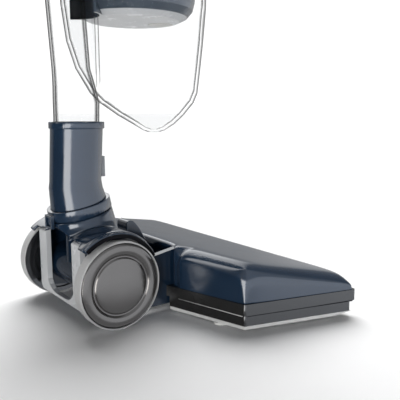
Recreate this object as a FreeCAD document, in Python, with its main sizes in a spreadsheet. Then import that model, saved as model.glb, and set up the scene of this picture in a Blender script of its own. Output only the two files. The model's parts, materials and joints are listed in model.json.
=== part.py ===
"""Upright wet-dry floor scrubber: a wheeled brush head, a tilting and swivelling neck, and a long handle
that carries the tanks, the suction motor and the battery.

Every shape is drawn in the axle frame: the origin is the floor point under the middle of the wheel axle,
+X points forward over the brush head, +Y to the machine's left and +Z up.  Each sub-part is then placed by
`axle_x`, which puts the middle of the whole machine over the document's origin.
"""
import FreeCAD, Part
import math
import os
import re
import Sketcher
from FreeCAD import Placement, Rotation, Vector

document = FreeCAD.newDocument("floor_scrubber")
sheet = document.addObject("Spreadsheet::Sheet", "Dimensions")

DRIVING = {
    "axle_x": -42.18,
    # wheels and axle
    "wheel_radius": 32.5, "wheel_outer_y": 58.5, "wheel_width": 11.0, "hub_radius": 31.5,
    "axle_radius": 4.0, "axle_half": 55.6, "bearing_gap": 0.06, "running_gap": 0.3,
    # plan of the brush head
    "head_front_x": 153.8, "head_front_half": 142.8, "head_rear_x": 65.2, "head_rear_half": 117.4,
    "head_inner_x": 47.0, "notch_x": 57.0, "notch_half": 47.6,
    # levels of the brush head
    "sole_z": 1.6, "sole_top_z": 4.2, "band_top_z": 12.7, "bumper_top_z": 21.2, "ridge_z": 53.6, "ridge_x": 50.0,
    "nose_z": 34.2, "nose_x": 148.0, "cover_wall": 2.8, "chamfer_x": 138.0, "corner_round": 2.4,
    # brush drive
    "brush_x": 108.0, "brush_z": 16.6, "brush_radius": 16.0, "core_radius": 10.5, "brush_left_y": 104.0,
    "brush_right_y": 113.0, "brush_shaft_radius": 4.0, "brush_pulley_radius": 9.6, "belt_y": 106.5,
    "belt_width": 6.0, "motor_pulley_radius": 6.0, "belt_thickness": 1.2, "tunnel_gap": 1.6, "tunnel_wall": 1.8,
    "motor_x": 76.5, "motor_z": 25.0, "motor_radius": 12.5, "motor_inner_y": 50.0, "motor_outer_y": 94.0,
    "motor_shaft_radius": 2.5,
    # air channel through the hinge
    "channel_half": 20.0, "channel_low_z": 18.0, "channel_high_z": 35.0, "channel_wall": 2.0,
    "drum_radius": 16.5, "drum_half": 36.0, "drum_wall": 2.5,
    # carriage between the wheels
    "arm_inner_y": 41.0, "arm_outer_y": 46.6, "arm_rear_x": -19.5,
    # pale frame round the rear mouth of the yoke
    "trim_rear_x": -22.5, "trim_depth": 4.4, "trim_half": 37.8, "trim_post": 14.0, "trim_low_z": 11.4,
    # hood over the hinge
    "saddle_inner": 36.2, "saddle_outer": 38.6, "fender_inner": 33.7, "fender_outer": 37.5, "fender_y": 51.4,
    "hood_wall": 2.0, "ear_inner_y": 36.5, "ear_outer_y": 40.6,
    # swivel joint
    "swivel_x": -3.6, "swivel_z": 82.9, "swivel_tilt": 13.0, "collar_radius": 24.6, "collar_half": 3.9,
    "collar_bore": 21.5, "spigot_radius": 21.2, "spigot_bore": 17.2,
    # neck and clear duct
    "neck_wall": 2.2, "neck_rim_z": 148.0, "rim_height": 5.0, "rim_radius": 20.9, "duct_wall": 1.8,
    "duct_low_z": 120.0,
    # dirty water tank
    "tank_top_z": 328.0, "tank_wall": 2.5, "groove_radius": 19.2, "groove_x": -6.9, "lid_height": 6.0,
    "basket_x": 48.5, "basket_radius": 49.3, "basket_low_z": 227.0, "basket_wall": 2.0, "filter_radius": 26.0,
    # motor housing
    "housing_low_z": 335.0, "housing_top_z": 470.0, "housing_wall": 2.6, "fan_x": 46.0, "fan_radius": 27.0,
    "fan_case_radius": 31.0, "armature_radius": 20.0,
    # battery
    "battery_rear_x": -48.0, "battery_front_x": -6.0, "battery_half": 24.0, "battery_low_z": 378.0,
    "battery_top_z": 462.0, "cell_radius": 9.0, "cell_height": 65.0,
    # clean water tank
    "clean_x": 50.0, "clean_radius": 45.0, "clean_low_z": 470.6, "clean_top_z": 588.0, "clean_neck_radius": 17.0,
    # handle
    "handle_x": -18.0, "handle_lean": 3.6, "tube_radius": 14.0, "tube_wall": 1.5, "tube_length": 470.0,
    "socket_length": 80.0, "pod_start": 410.0, "pod_length": 62.0, "pod_radius": 23.0, "grip_length": 132.0,
    "grip_radius": 17.5,
}


def fill_sheet():
    """One row for each driving dimension: its name, and its value in millimetres or degrees."""
    for row, (alias, value) in enumerate(DRIVING.items(), start=1):
        sheet.set(f"A{row}", alias)
        sheet.set(f"B{row}", str(value))
        sheet.setAlias(f"B{row}", alias)


fill_sheet()
document.recompute()
ALIAS = re.compile(r"\b(" + "|".join(sorted(DRIVING, key=len, reverse=True)) + r")\b")
SUB_PARTS = []


def size(alias):
    """The value that the sheet holds for one dimension."""
    return float(sheet.get(alias))


def linked(expression):
    """The expression with every dimension's name pointed at the sheet."""
    return ALIAS.sub(r"Dimensions.\1", str(expression))


def bind(item, **properties):
    """Bind properties of an object to expressions; a double underscore stands for a dot."""
    for name, expression in properties.items():
        item.setExpression(name.replace("__", "."), linked(expression))
    return item


def place(item, at):
    """Bind an object's position in the axle frame."""
    return bind(item, Placement__Base__x=at[0], Placement__Base__y=at[1], Placement__Base__z=at[2])


def keep(name, item, x_offset="0"):
    """Register an object as the sub-part of that name and shift it from the axle frame to the machine's frame."""
    item.Label = name
    item.setExpression("Placement.Base.x", linked(f"axle_x + ({x_offset})"))
    SUB_PARTS.append(item)
    return item


# ------------------------------------------------------------------ primitives and booleans

AXIS_TURN = {
    "Z": Rotation(),
    "Y": Rotation(Vector(1, 0, 0), -90),
    "X": Rotation(Vector(0, 1, 0), 90),
}


def box(name, low, high):
    """A block between two corners given as expressions."""
    item = document.addObject("Part::Box", name)
    bind(item, Length=f"({high[0]}) - ({low[0]})", Width=f"({high[1]}) - ({low[1]})",
         Height=f"({high[2]}) - ({low[2]})")
    return place(item, low)


def cylinder(name, radius, length, at, along="Z"):
    """A cylinder that starts at a point and runs along a positive axis."""
    item = document.addObject("Part::Cylinder", name)
    bind(item, Radius=radius, Height=length)
    item.Placement = Placement(Vector(), AXIS_TURN[along])
    return place(item, at)


def cross_bar(name, radius, half_length, x, z):
    """A cylinder across the machine, centred on its middle plane."""
    return cylinder(name, radius, f"2 * ({half_length})", (x, f"-({half_length})", z), "Y")


def cut(name, base, *tools):
    """The base less every tool."""
    item = document.addObject("Part::Cut", name)
    item.Base = base
    item.Tool = tools[0] if len(tools) == 1 else fuse(name + "_tools", *tools)
    return item


def fuse(name, *shapes):
    item = document.addObject("Part::MultiFuse", name)
    item.Shapes = list(shapes)
    item.Refine = True
    return item


def common(name, *shapes):
    item = document.addObject("Part::MultiCommon", name)
    item.Shapes = list(shapes)
    return item


def tube(name, outer, inner, length, at, along="Z"):
    """A pipe between two radii."""
    longer = (f"({length}) + 2", [at[0], at[1], at[2]])
    index = "XYZ".index(along)
    longer[1][index] = f"({at[index]}) - 1"
    return cut(name, cylinder(name + "_outside", outer, length, at, along),
               cylinder(name + "_bore", inner, longer[0], longer[1], along))


# ------------------------------------------------------------------ sketched bodies

def plane_of(body, role):
    """The origin plane of a body by its role, such as XY_Plane."""
    return [feature for feature in body.Origin.OriginFeatures if feature.Role == role][0]


def sketch_on(body, name, role, offset="0"):
    """An empty sketch on one of the body's own origin planes, moved along the plane's normal."""
    sketch = body.newObject("Sketcher::SketchObject", name)
    sketch.AttachmentSupport = [(plane_of(body, role), "")]
    sketch.MapMode = "FlatFace"
    bind(sketch, AttachmentOffset__Base__z=offset)
    return sketch


def fix_point(sketch, element, point, position):
    """Bind both coordinates of a sketch point to expressions."""
    for kind, expression in zip(("DistanceX", "DistanceY"), position):
        index = sketch.addConstraint(Sketcher.Constraint(kind, -1, 1, element, point, 1.0))
        sketch.setExpression(f"Constraints[{index}]", linked(expression))


def draw_polygon(sketch, points):
    """A closed polygon whose corners are pairs of expressions."""
    count = len(points)
    turn = 2 * math.pi / count
    rough = [Vector(50 * math.cos(turn * k), 50 * math.sin(turn * k), 0) for k in range(count)]
    first = sketch.GeometryCount
    for k in range(count):
        sketch.addGeometry(Part.LineSegment(rough[k], rough[(k + 1) % count]))
    for k in range(count):
        sketch.addConstraint(Sketcher.Constraint("Coincident", first + k, 2, first + (k + 1) % count, 1))
    for k, point in enumerate(points):
        fix_point(sketch, first + k, 1, point)


def pad(body, sketch, length, symmetric=False):
    feature = body.newObject("PartDesign::Pad", sketch.Name + "_pad")
    feature.Profile = sketch
    feature.SideType = "Symmetric" if symmetric else "One side"
    return bind(feature, Length=length)


def pocket_through(body, sketch, depth):
    """Cut a sketched outline symmetrically about its plane."""
    feature = body.newObject("PartDesign::Pocket", sketch.Name + "_pocket")
    feature.Profile = sketch
    feature.SideType = "Symmetric"
    return bind(feature, Length=depth)


def revolve(body, sketch, axis="V_Axis"):
    feature = body.newObject("PartDesign::Revolution", sketch.Name + "_turned")
    feature.Profile = sketch
    feature.ReferenceAxis = (sketch, [axis])
    feature.Angle = 360
    return feature


def prism(name, points, low_z, high_z):
    """A polygon in plan, between two levels."""
    body = document.addObject("PartDesign::Body", name)
    sketch = sketch_on(body, name + "_plan", "XY_Plane", low_z)
    draw_polygon(sketch, points)
    pad(body, sketch, f"({high_z}) - ({low_z})")
    return body


def side_plate(name, points, width):
    """A polygon in the side view (forward, up), symmetric about the middle plane."""
    body = document.addObject("PartDesign::Body", name)
    sketch = sketch_on(body, name + "_side", "XZ_Plane")
    draw_polygon(sketch, points)
    pad(body, sketch, width, symmetric=True)
    return body


def turned(name, profile, at, turn=None):
    """A profile of (radius, height) pairs turned about its own axis, which starts at a point."""
    body = document.addObject("PartDesign::Body", name)
    sketch = sketch_on(body, name + "_profile", "XZ_Plane")
    draw_polygon(sketch, profile)
    revolve(body, sketch)
    if turn is not None:
        body.Placement = Placement(Vector(), turn)
    return place(body, at)


def round_edges(body, radius, chosen):
    """Fillet every edge of the body that the test picks."""
    document.recompute()
    tip = body.Tip
    names = [f"Edge{k + 1}" for k, edge in enumerate(tip.Shape.Edges) if chosen(edge)]
    fillet = body.newObject("PartDesign::Fillet", f"{body.Name}_round_{len(body.Group)}")
    fillet.Base = (tip, names)
    fillet.Radius = radius
    document.recompute()
    if "Invalid" in fillet.State or not fillet.Shape.isValid():
        raise RuntimeError(f"the fillet on {body.Name} failed")
    return fillet


def is_outer_corner(edge):
    """True for an upright edge at one of the head's four outer corners."""
    upright = edge.Curve.TypeId == "Part::GeomLine" and abs(edge.tangentAt(edge.FirstParameter).z) > 0.99
    return upright and abs(edge.BoundBox.YMin) > 60


# ------------------------------------------------------------------ lofted shells

def section(name, radius, x, z, tilt="0", minor=None):
    """A circle or a fore-and-aft ellipse across the machine's upright axis, leaning back by `tilt` degrees."""
    kind = "Part::Circle" if minor is None else "Part::Ellipse"
    item = document.addObject(kind, name)
    if minor is None:
        bind(item, Radius=radius)
    else:
        bind(item, MajorRadius=radius, MinorRadius=minor)
    item.Placement = Placement(Vector(), Rotation(Vector(0, -1, 0), 1))
    bind(item, Placement__Rotation__Angle=tilt)
    return place(item, (x, "0", z))


def loft(name, sections, ruled=True):
    item = document.addObject("Part::Loft", name)
    item.Sections = sections
    item.Solid = True
    item.Ruled = ruled
    return item


def stacked_loft(name, rows, inset="0", ruled=True):
    """A loft of round or oval sections; a row is (z, centre x, radius or fore-aft half, optional lateral half)."""
    sections = []
    for k, row in enumerate(rows):
        minor = f"({row[3]}) - ({inset})" if len(row) > 3 else None
        sections.append(section(f"{name}_section_{k}", f"({row[2]}) - ({inset})", row[1], row[0], minor=minor))
    return loft(name, sections, ruled)


def along_swivel(distance):
    """The point on the swivel's axis at a distance above the joint's centre, as expressions."""
    return (f"swivel_x - ({distance}) * sin(swivel_tilt)", f"swivel_z + ({distance}) * cos(swivel_tilt)")


def swivel_disc(name, radius, low, high):
    """A cylinder about the swivel's leaning axis, between two distances from the joint's centre."""
    x, z = along_swivel(low)
    item = document.addObject("Part::Cylinder", name)
    bind(item, Radius=radius, Height=f"({high}) - ({low})")
    item.Placement = Placement(Vector(), Rotation(Vector(0, -1, 0), 1))
    bind(item, Placement__Rotation__Angle="swivel_tilt")
    return place(item, (x, "0", z))


def swivel_ring(name, outer, inner, low, high):
    return cut(name, swivel_disc(name + "_outside", outer, low, high),
               swivel_disc(name + "_bore", inner, f"({low}) - 1", f"({high}) + 1"))


def handle_disc(name, radius, low, high):
    """A cylinder about the handle's leaning axis, between two distances above its foot on the housing."""
    item = document.addObject("Part::Cylinder", name)
    bind(item, Radius=radius, Height=f"({high}) - ({low})")
    item.Placement = Placement(Vector(), Rotation(Vector(0, -1, 0), 1))
    bind(item, Placement__Rotation__Angle="handle_lean")
    return place(item, (f"handle_x - ({low}) * sin(handle_lean)", "0",
                        f"housing_top_z + ({low}) * cos(handle_lean)"))


def handle_ring(name, outer, inner, low, high):
    return cut(name, handle_disc(name + "_outside", outer, low, high),
               handle_disc(name + "_bore", inner, f"({low}) - 1", f"({high}) + 1"))


def handle_block(name, low, high):
    """A block in the handle's own leaning frame: forward, left and up along the handle."""
    item = document.addObject("Part::Box", name)
    bind(item, Length=f"({high[0]}) - ({low[0]})", Width=f"({high[1]}) - ({low[1]})",
         Height=f"({high[2]}) - ({low[2]})")
    item.Placement = Placement(Vector(), Rotation(Vector(0, -1, 0), 1))
    bind(item, Placement__Rotation__Angle="handle_lean")
    forward, up = f"({low[0]})", f"({low[2]})"
    return place(item, (f"handle_x + {forward} * cos(handle_lean) - {up} * sin(handle_lean)", low[1],
                        f"housing_top_z + {forward} * sin(handle_lean) + {up} * cos(handle_lean)"))


# ------------------------------------------------------------------ brush head

def head_outline(inset="0", front_inset=None):
    """Plan of the head: a trapezoid with swept rear edges and a square notch for the neck."""
    setback = front_inset or inset
    front = f"head_front_x - ({setback})"
    sweep = "(head_front_half - head_rear_half) / (head_front_x - head_rear_x)"
    wide = f"head_front_half - ({inset}) - (({setback}) - ({inset})) * {sweep}"
    rear, rear_half = f"head_rear_x + ({inset})", f"head_rear_half - ({inset})"
    inner, notch = f"head_inner_x + ({inset})", f"notch_x + ({inset})"
    notch_half = f"notch_half + ({inset})"
    right = [(front, f"-({wide})"), (rear, f"-({rear_half})"), (inner, f"-({notch_half})"),
             (notch, f"-({notch_half})")]
    left = [(x, y[1:]) for x, y in reversed(right)]
    return right + left


def slanted_top(name, drop, low_z):
    """The side view of the head: level underside, deck falling from the rear ridge to the nose."""
    slope = "(ridge_z - nose_z) / (nose_x - ridge_x)"
    deck_rear = f"ridge_z - ({drop}) + 20 * {slope}"
    nose_top = f"nose_z - ({drop})"
    return side_plate(name, [
        ("ridge_x - 20", low_z), ("ridge_x - 20", deck_rear), ("nose_x", nose_top),
        (f"head_front_x - ({drop}) * 0.5", f"nose_z - 7 - ({drop})"), ("head_front_x + 10", low_z),
    ], "2 * head_front_half + 20")


def top_cover():
    """Navy moulded cover: swept hollow shell with a slanting deck, rounded over its rear ridge and ends."""
    outer_plan = prism("cover_plan", head_outline(), "bumper_top_z", "ridge_z + 8")
    round_edges(outer_plan, 7.0, is_outer_corner)
    outer = common("cover_outside", outer_plan, slanted_top("cover_side", "0", "bumper_top_z"))
    document.recompute()
    rounded = document.addObject("Part::Fillet", "cover_rounded")
    rounded.Base = outer
    deck_edges = [(k + 1, 6.0, 6.0) for k, edge in enumerate(outer.Shape.Edges) if is_deck_edge(edge)]
    rounded.Edges = deck_edges
    inner = common("cover_inside", prism("cover_inner_plan", head_outline("cover_wall"), "bumper_top_z - 1",
                                         "ridge_z + 8"),
                   slanted_top("cover_inner_side", "cover_wall", "bumper_top_z - 1"))
    keep("top_cover", cut("top_cover", rounded, inner, channel_port("cover_port")))


def channel_port(name):
    """The way through the notch wall for the suction channel."""
    return box(name, ("notch_x - 3", "-(channel_half + 0.2)", "channel_low_z - 0.2"),
               ("notch_x + 7", "channel_half + 0.2", "channel_high_z + 0.2"))


def is_deck_edge(edge):
    """True for the edges where the slanting deck meets the rear face and the two ends."""
    box_of = edge.BoundBox
    if box_of.ZMin < size("nose_z") - 1:
        return False
    across_front = box_of.XMin > size("nose_x") - 2
    beside_notch = box_of.XMax < size("notch_x") + 9 and max(abs(box_of.YMin), abs(box_of.YMax)) < 60
    return not across_front and not beside_notch and box_of.DiagonalLength > 3


def head_band(name, inset, front_inset, inner_inset, low_z, high_z, inner_front):
    """A ring that follows the head's outline between two levels."""
    outside = prism(name + "_outside", head_outline(inset, front_inset), low_z, high_z)
    round_edges(outside, size("corner_round"), is_outer_corner)
    inside = prism(name + "_inside", head_outline(inner_inset, inner_front), f"({low_z}) - 1", f"({high_z}) + 1")
    opening = box(name + "_port", ("notch_x - 8", "-(arm_outer_y + 0.2)", f"({low_z}) - 1"),
                  ("notch_x + 9", "arm_outer_y + 0.2", f"({high_z}) + 1"))
    return cut(name, outside, inside, opening)


def bumper_strip():
    """Soft strip that stands proud around the head's edge."""
    keep("bumper_strip", head_band("bumper_strip", "-0.9", "-3.2", "4.5", "band_top_z", "bumper_top_z", "4.5"))


def lower_band():
    """Dark skirt below the bumper."""
    keep("lower_band", head_band("lower_band", "0.8", "-0.3", "5", "sole_top_z", "band_top_z", "18.5"))


def sole_plate():
    """Pale bottom plate with the brush opening, the squeegee's channel and the motor's cradle."""
    plate = prism("sole_outline", head_outline("1.2", "0.2"), "sole_z", "sole_top_z")
    deck = prism("sole_deck", head_outline("5.6", "19.2"), "sole_top_z", "sole_top_z + 1.2")
    lifted = side_plate("sole_nose_cut", [
        ("chamfer_x", "sole_z - 1"), ("chamfer_x", "sole_z"), ("head_front_x", "sole_top_z - 0.5"),
        ("head_front_x + 9", "sole_top_z - 0.5"), ("head_front_x + 9", "sole_z - 1"),
    ], "2 * head_front_half + 20")
    opening = box("brush_opening", ("brush_x - brush_radius - 2", "-(brush_right_y + 1)", "0"),
                  ("brush_x + brush_radius + 2", "belt_y + belt_width - 0.4", "10"))
    floor = "sole_top_z + 1.2"
    channel = box("squeegee_channel", ("71", "-108", "sole_top_z"), ("79", "108", f"{floor} + 4"))
    slot = box("squeegee_slot", ("74.2", "-103", "0"), ("75.8", "103", f"{floor} + 3"))
    cradle = box("cradle_block", ("motor_x - 10", "62", "sole_top_z"), ("motor_x + 8", "84", "motor_z - 4"))
    seat = cylinder("cradle_seat", "motor_radius", "40", ("motor_x", "54", "motor_z"), "Y")
    keep("sole_plate", cut("sole_plate", fuse("sole_blank", plate, deck, channel, cradle), opening, slot, seat,
                           lifted))


def squeegee():
    """Rubber blade behind the brush, held in the sole's channel."""
    floor = "sole_top_z + 1.2"
    blade = box("blade", ("74.2", "-103", "0.4"), ("75.8", "103", f"{floor} + 3"))
    keep("squeegee_blade", blade, "74.2")


def glide_pads():
    """Four low pads that carry the front of the head on the floor."""
    places = [("131", "-118"), ("131", "118"), ("64", "-92"), ("64", "92")]
    pads = [cylinder(f"pad_{k}", "5", "sole_z", (x, y, "0")) for k, (x, y) in enumerate(places)]
    keep("glide_pads", fuse("glide_pads", *pads))


def brush_tunnel():
    """Half-round hood over the brush, with end walls and the mouth of the suction channel."""
    inner, outer = "brush_radius + tunnel_gap", "brush_radius + tunnel_gap + tunnel_wall"
    low_y, length = "-(brush_right_y + 1.5)", "brush_right_y + brush_left_y + 2.5"
    arch = cylinder("tunnel_outside", outer, length, ("brush_x", low_y, "brush_z"), "Y")
    bore = cylinder("tunnel_bore", inner, f"{length} + 2", ("brush_x", f"{low_y} - 1", "brush_z"), "Y")
    foot = box("tunnel_foot_cut", ("brush_x - 40", "-150", "-30"), ("brush_x + 40", "150", "sole_top_z + 1.2"))
    mouth = box("tunnel_mouth", ("brush_x - 30", "-(channel_half - channel_wall)", "channel_low_z + channel_wall"),
                ("brush_x - 4", "channel_half - channel_wall", "channel_high_z - channel_wall"))
    keep("brush_tunnel", cut("brush_tunnel", arch, bore, foot, mouth))


def suction_channel():
    """Flat air channel from the tunnel to the hinge drum, hollowed to the drum's radius at its rear end."""
    tunnel = "brush_radius + tunnel_gap + tunnel_wall"
    low = ("8", "-channel_half", "channel_low_z")
    high = ("brush_x", "channel_half", "channel_high_z")
    wall = "channel_wall"
    bore_low = ("4", f"-(channel_half - {wall})", f"channel_low_z + {wall}")
    bore_high = ("brush_x + 1", f"channel_half - {wall}", f"channel_high_z - {wall}")
    seat = cross_bar("channel_seat", "drum_radius + running_gap", "60", "0", "wheel_radius")
    arch = cross_bar("channel_arch", tunnel, "60", "brush_x", "brush_z")
    keep("suction_channel", cut("suction_channel", box("channel_block", low, high),
                                box("channel_bore", bore_low, bore_high), seat, arch))


def brush_bearings():
    """A bearing block at each end of the brush, standing on the sole."""
    blocks = []
    for side, near, far in (("right", "-(brush_right_y + 7)", "-(brush_right_y + 2)"),
                            ("left", "belt_y + belt_width + 1", "belt_y + belt_width + 6")):
        block = box(f"bearing_block_{side}", ("brush_x - 8", near, "sole_top_z + 1.2"),
                    ("brush_x + 8", far, "brush_z + 9"))
        bore = cylinder(f"bearing_bore_{side}", "brush_shaft_radius + bearing_gap", "20",
                        ("brush_x", f"({near}) - 5", "brush_z"), "Y")
        blocks.append(cut(f"bearing_{side}", block, bore))
    keep("brush_bearings", fuse("brush_bearings", *blocks))


def brush_roller():
    """Turning roller: the core with its shaft ends and driven pulley, and the bristle sleeve."""
    length = "brush_left_y + brush_right_y"
    drum = cylinder("core_drum", "core_radius", length, ("brush_x", "-brush_right_y", "brush_z"), "Y")
    shaft = cylinder("core_shaft", "brush_shaft_radius", f"{length} + 22",
                     ("brush_x", "-(brush_right_y + 6.6)", "brush_z"), "Y")
    pulley = cylinder("core_pulley", "brush_pulley_radius", "belt_width", ("brush_x", "belt_y", "brush_z"), "Y")
    keep("brush_core", fuse("brush_core", drum, shaft, pulley))
    keep("brush_bristles", tube("brush_bristles", "brush_radius", "core_radius", f"{length} - 2",
                                ("brush_x", "-(brush_right_y - 1)", "brush_z"), "Y"))


def brush_motor():
    """Drive motor behind the tunnel: its can, and its rotor with the small pulley."""
    length = "motor_outer_y - motor_inner_y"
    can = cylinder("can_outside", "motor_radius", length, ("motor_x", "motor_inner_y", "motor_z"), "Y")
    hollow = cylinder("can_hollow", "motor_radius - 2.5", f"{length} - 6",
                      ("motor_x", "motor_inner_y + 3", "motor_z"), "Y")
    nose = cylinder("can_nose", "motor_shaft_radius + bearing_gap", "12", ("motor_x", "motor_outer_y - 8", "motor_z"),
                    "Y")
    keep("brush_motor_can", cut("brush_motor_can", can, hollow, nose))
    shaft = cylinder("rotor_shaft", "motor_shaft_radius", "belt_y + belt_width - motor_inner_y - 6",
                     ("motor_x", "motor_inner_y + 6", "motor_z"), "Y")
    armature = cylinder("rotor_armature", "motor_radius - 4", f"{length} - 18",
                        ("motor_x", "motor_inner_y + 9", "motor_z"), "Y")
    pulley = cylinder("rotor_pulley", "motor_pulley_radius", "belt_width", ("motor_x", "belt_y", "motor_z"), "Y")
    keep("brush_motor_rotor", fuse("brush_motor_rotor", shaft, armature, pulley))


def drive_belt():
    """Closed belt round both pulleys, straight where it leaves them."""
    reach = Vector(size("motor_x") - size("brush_x"), 0, size("motor_z") - size("brush_z"))
    clearance = size("running_gap")
    large = size("brush_pulley_radius") + clearance
    small = size("motor_pulley_radius") + clearance
    thickness = size("belt_thickness")
    outside = belt_face(reach, large + thickness, small + thickness)
    inside = belt_face(reach, large, small)
    ring = outside.cut(inside).extrude(Vector(0, size("belt_width") - 2, 0))
    item = document.addObject("Part::Feature", "drive_belt")
    item.Shape = ring
    item.Placement = Placement(Vector(0, 0, 0), Rotation())
    place(item, ("brush_x", "belt_y + 1", "brush_z"))
    keep("drive_belt", item, "brush_x")


def belt_face(reach, large, small):
    """The face inside a belt that runs round two circles."""
    along = Vector(reach).normalize()
    across = Vector(-along.z, 0, along.x)
    lean = math.asin((large - small) / reach.Length)
    upper = across * math.cos(lean) + along * math.sin(lean)
    lower = across * -math.cos(lean) + along * math.sin(lean)
    start, far = upper * large, reach + upper * small
    back, finish = reach + lower * small, lower * large
    edges = [
        Part.LineSegment(start, far).toShape(),
        Part.Arc(far, reach + along * small, back).toShape(),
        Part.LineSegment(back, finish).toShape(),
        Part.Arc(finish, along * -large, start).toShape(),
    ]
    return Part.Face(Part.Wire(edges))


def spray_bar():
    """Water pipe along the nose, with five nozzles that point down in front of the brush."""
    pipe = cross_bar("spray_pipe", "2.5", "90", "131.5", "22")
    nozzles = [cylinder(f"nozzle_{k}", "1.6", "8", ("131.5", f"{40 * k}", "13")) for k in range(-2, 3)]
    keep("spray_bar", fuse("spray_bar", pipe, *nozzles))


def head_screws():
    """Six screws that hold the sole and the cover together."""
    spots = [("86.0", 114.6), ("67.0", 90), ("63.5", 70)]
    screws = []
    for k, (x, y) in enumerate(spots):
        for side in (-1, 1):
            head = cylinder(f"screw_head_{k}_{side + 1}", "2.4", "1.6", (x, f"{side * y}", "sole_top_z + 1.2"))
            stem = cylinder(f"screw_stem_{k}_{side + 1}", "1.4", "9", (x, f"{side * y}", "sole_top_z + 2"))
            screws.append(fuse(f"screw_{k}_{side + 1}", head, stem))
    keep("head_screws", fuse("head_screws", *screws))


# ------------------------------------------------------------------ carriage and wheels

def carriage_frame():
    """Two arms that carry the axle, joined by a flange that is screwed inside the head."""
    arm = side_plate("arm_side", [
        ("arm_rear_x", "12"), ("arm_rear_x", "59"), ("12", "59"), ("22", "56"), ("29", "48"), ("31", "45.8"), ("notch_x", "50"),
        ("notch_x", "sole_top_z + 2"), ("24", "sole_top_z + 2"),
    ], "2 * arm_outer_y")
    gap = box("arm_gap", ("arm_rear_x - 1", "-arm_inner_y", "0"), ("notch_x + 1", "arm_inner_y", "70"))
    bore = cross_bar("arm_bore", "axle_radius", "60", "0", "wheel_radius")
    arms = cut("carriage_arms", arm, gap, bore)
    plate = box("carriage_plate", ("notch_x - 0.2", "-arm_outer_y", "sole_top_z + 0.3"),
                ("notch_x + 2.6", "arm_outer_y", "bumper_top_z - 0.2"))
    flange = box("carriage_flange", ("notch_x", "-arm_outer_y", "sole_top_z + 2"),
                 ("notch_x + 12", "arm_outer_y", "sole_top_z + 5"))
    blank = fuse("carriage_blank", arms, plate, flange)
    keep("carriage_frame", cut("carriage_frame", blank, channel_port("carriage_port")))


def rear_trim():
    """Pale frame round the rear mouth of the yoke: two posts and a rounded sill, trimmed to the hood."""
    body = document.addObject("PartDesign::Body", "trim_frame")
    sketch = sketch_on(body, "trim_outline", "YZ_Plane", "trim_rear_x")
    edge, low, top = "trim_half", "trim_low_z", "wheel_radius + saddle_inner"
    draw_polygon(sketch, [
        (edge, top), (edge, f"{low} + 3.5"), (f"{edge} - 3.5", low), (f"-({edge} - 3.5)", low),
        (f"-{edge}", f"{low} + 3.5"), (f"-{edge}", top),
    ])
    pad(body, sketch, "trim_depth")
    inner, sill = "trim_half - trim_post", f"{low} + 2.6"
    opening = sketch_on(body, "trim_opening", "YZ_Plane", "trim_rear_x")
    draw_polygon(opening, [
        (inner, f"{top} + 5"), (inner, f"{sill} + 8"), (f"{inner} - 3", f"{sill} + 4"), (f"{inner} - 8", f"{sill} + 1.2"),
        ("9", sill), ("-9", sill), (f"8 - ({inner})", f"{sill} + 1.2"), (f"3 - ({inner})", f"{sill} + 4"),
        (f"-({inner})", f"{sill} + 8"), (f"-({inner})", f"{top} + 5"),
    ])
    pocket_through(body, opening, "40")
    limit = cross_bar("trim_limit", "saddle_inner - 0.02", "trim_half + 2", "0", "wheel_radius")
    keep("rear_trim", common("rear_trim", body, limit))


def axle():
    """Steel axle through the arms, with a retaining clip inside each hub."""
    keep("wheel_axle", cross_bar("wheel_axle", "axle_radius", "axle_half", "0", "wheel_radius"))
    clips = [tube(f"clip_{name}", "axle_radius + 3", "axle_radius", "1", ("0", start, "wheel_radius"), "Y")
             for name, start in (("left", "axle_half - 1.6"), ("right", "-(axle_half - 0.6)"))]
    keep("axle_clips", fuse("axle_clips", *clips))


def wheel(side, sign):
    """Tyre, hub and snap-on cap of one wheel; heights run outward from the wheel's inner face."""
    turn = Rotation(Vector(1, 0, 0), -90 * sign)
    start = ("0", f"{sign} * (wheel_outer_y - wheel_width)", "wheel_radius")
    rim, width = "wheel_radius", "wheel_width"
    tyre = [("hub_radius", "0.6"), ("hub_radius + 0.3", "0.1"), (f"{rim} - 0.4", "0"), (f"{rim} - 0.1", "0.4"),
            (rim, "1.2"), (rim, f"{width} - 1.7"), (f"{rim} - 0.15", f"{width} - 1"),
            (f"{rim} - 0.5", f"{width} - 0.5"), ("hub_radius", f"{width} - 0.6")]
    keep(f"wheel_tyre_{side}", turned(f"wheel_tyre_{side}", tyre, start, turn))
    bore, recess = "axle_radius + bearing_gap", f"{width} - 5.4"
    hub = [(bore, "1"), ("12", "1"), ("14", "3"), ("22", "3"), ("22.8", "1.8"), ("23.6", "3"), ("27.5", "3"),
           ("28", "0.9"), ("hub_radius - 0.1", "0.9"), ("hub_radius - 0.1", f"{width} - 2.7"),
           ("9", f"{width} - 2.7"), ("9", recess), (bore, recess)]
    keep(f"wheel_hub_{side}", turned(f"wheel_hub_{side}", hub, start, turn))
    cap = [("0", f"{width} - 2.6"), ("hub_radius - 0.1", f"{width} - 2.6"), ("hub_radius - 0.1", f"{width} - 1.5"),
           ("30.3", f"{width} - 0.6"), ("29", f"{width} - 0.1"), ("27", width), ("24.2", f"{width} - 0.1"),
           ("23.3", f"{width} - 0.5"), ("22.8", f"{width} - 1.7"), ("21.0", f"{width} - 1.7"),
           ("20.6", f"{width} - 0.6"), ("19.6", f"{width} - 0.2"), ("10", width), ("0", width)]
    keep(f"wheel_cap_{side}", turned(f"wheel_cap_{side}", cap, start, turn))


# ------------------------------------------------------------------ tilting yoke

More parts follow.
